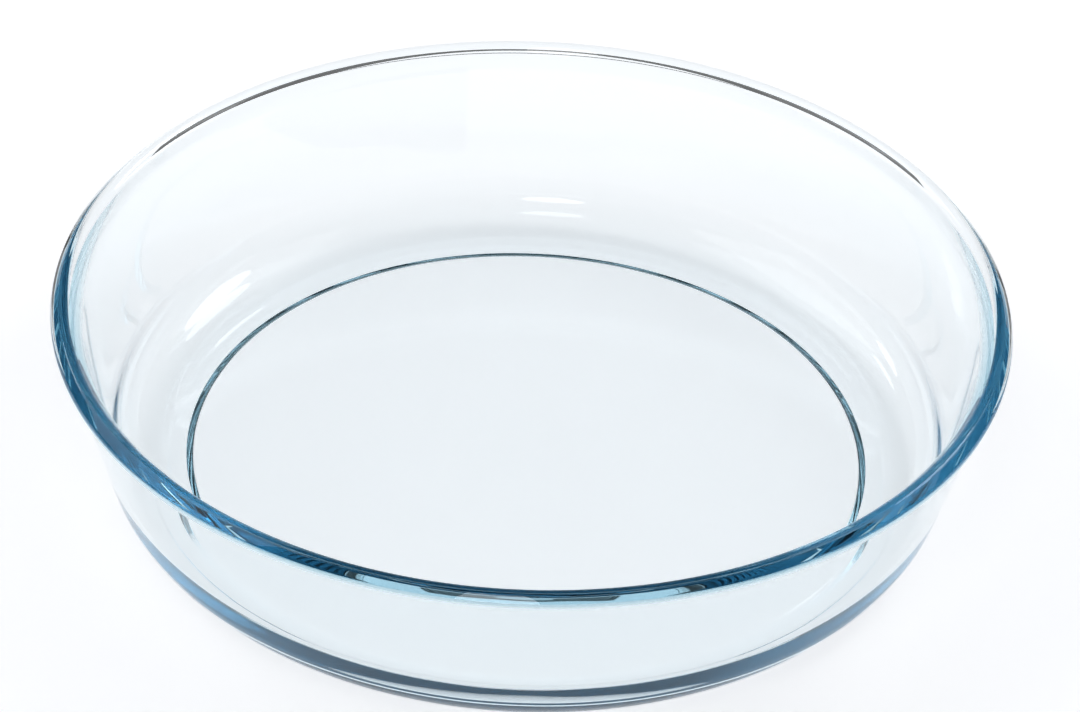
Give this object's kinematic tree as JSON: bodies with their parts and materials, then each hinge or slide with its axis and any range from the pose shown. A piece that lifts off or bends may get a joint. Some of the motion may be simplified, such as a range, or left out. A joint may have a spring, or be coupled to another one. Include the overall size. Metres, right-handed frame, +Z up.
{
  "type": "pie dish",
  "caption": "Round clear glass pie dish with a flared wall, a rounded rim bead and a low foot ring, for baking and serving.",
  "frame": {"origin": "on the dish's axis, in the plane of the foot ring's face that it stands on", "axes": "+Z up along the dish's axis; the dish is round, so X and Y are any two level directions at right angles"},
  "size_m": [0.26, 0.26, 0.0573],
  "materials": {
    "glass": "clear pressed glass with a faint blue tint that deepens along the rim"
  },
  "bodies": {
    "root": {"glass_dish": "glass"}
  },
  "joints": []
}
